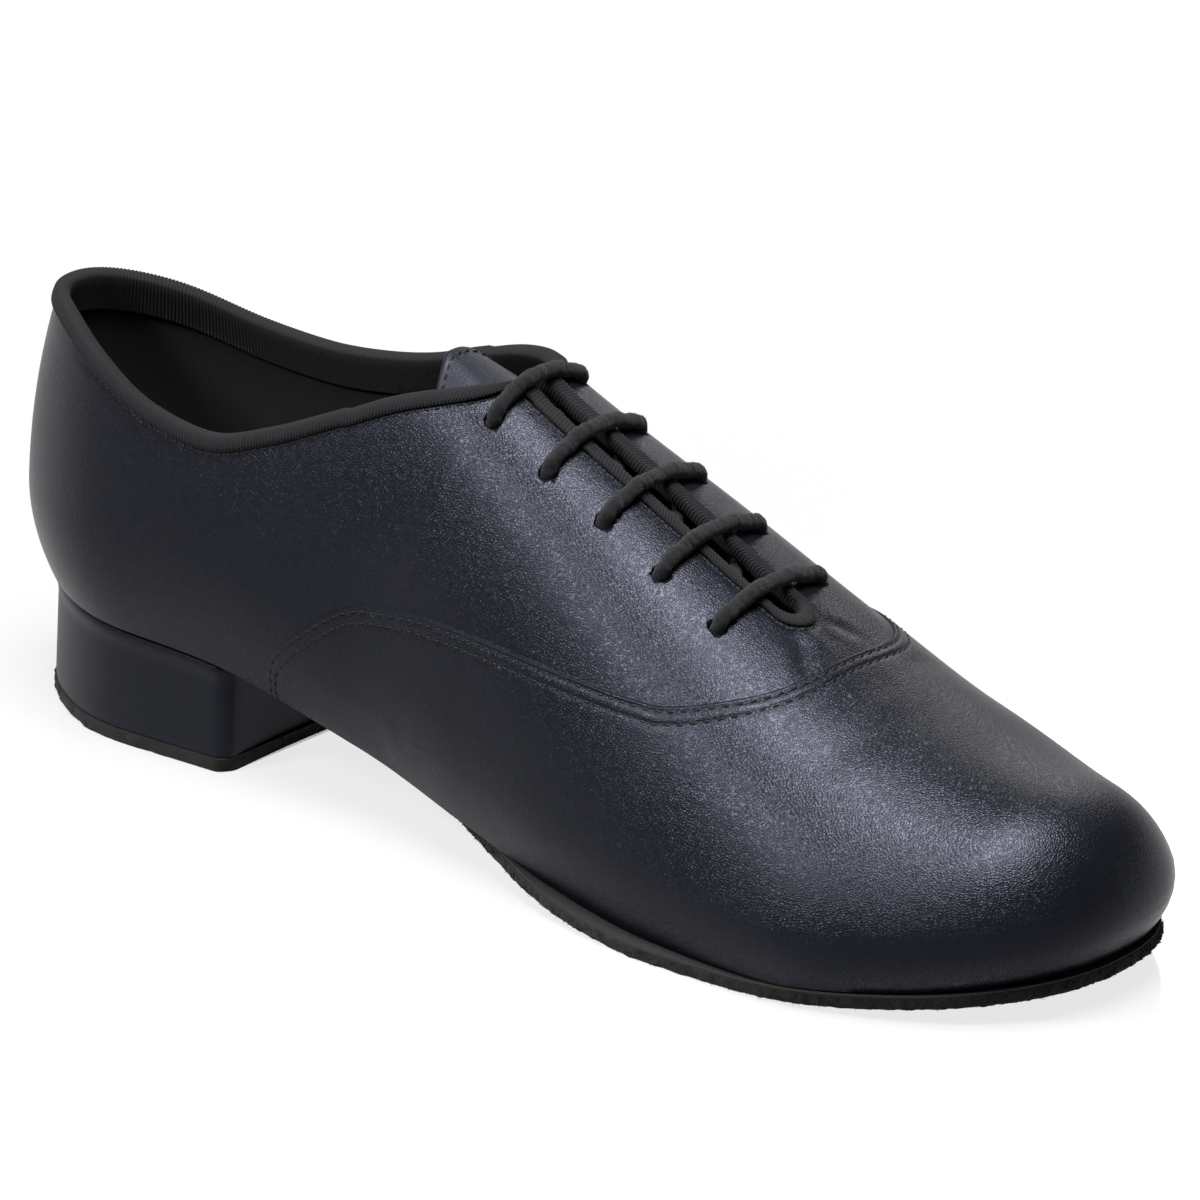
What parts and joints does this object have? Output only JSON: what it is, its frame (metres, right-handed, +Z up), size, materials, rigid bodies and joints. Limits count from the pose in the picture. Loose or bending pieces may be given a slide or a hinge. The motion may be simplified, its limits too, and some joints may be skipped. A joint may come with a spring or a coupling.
{
  "type": "ballroom dance shoe",
  "caption": "Men's lace-up ballroom dance shoe for the left foot: a soft round-toed leather upper with a taped collar, a thin suede sole and a low covered heel.",
  "frame": {"origin": "bottom centre of the shoe's box, on the floor it stands on", "axes": "+X to the toe, +Y to the outer side of the left foot, +Z up"},
  "size_m": [0.2893, 0.0959, 0.098],
  "materials": {
    "upper_leather": "satin",
    "ribbed_tape": "ribbed",
    "tongue_leather": "satin",
    "lining": "matte",
    "suede": "napped",
    "heel_leather": "satin",
    "lace_cotton": "woven"
  },
  "bodies": {
    "root": {"upper": "upper_leather", "edge_binding": "ribbed_tape", "tongue": "tongue_leather", "insole": "lining", "sole": "suede", "heel_block": "heel_leather", "heel_cap": "suede", "lace": "lace_cotton"}
  },
  "joints": []
}
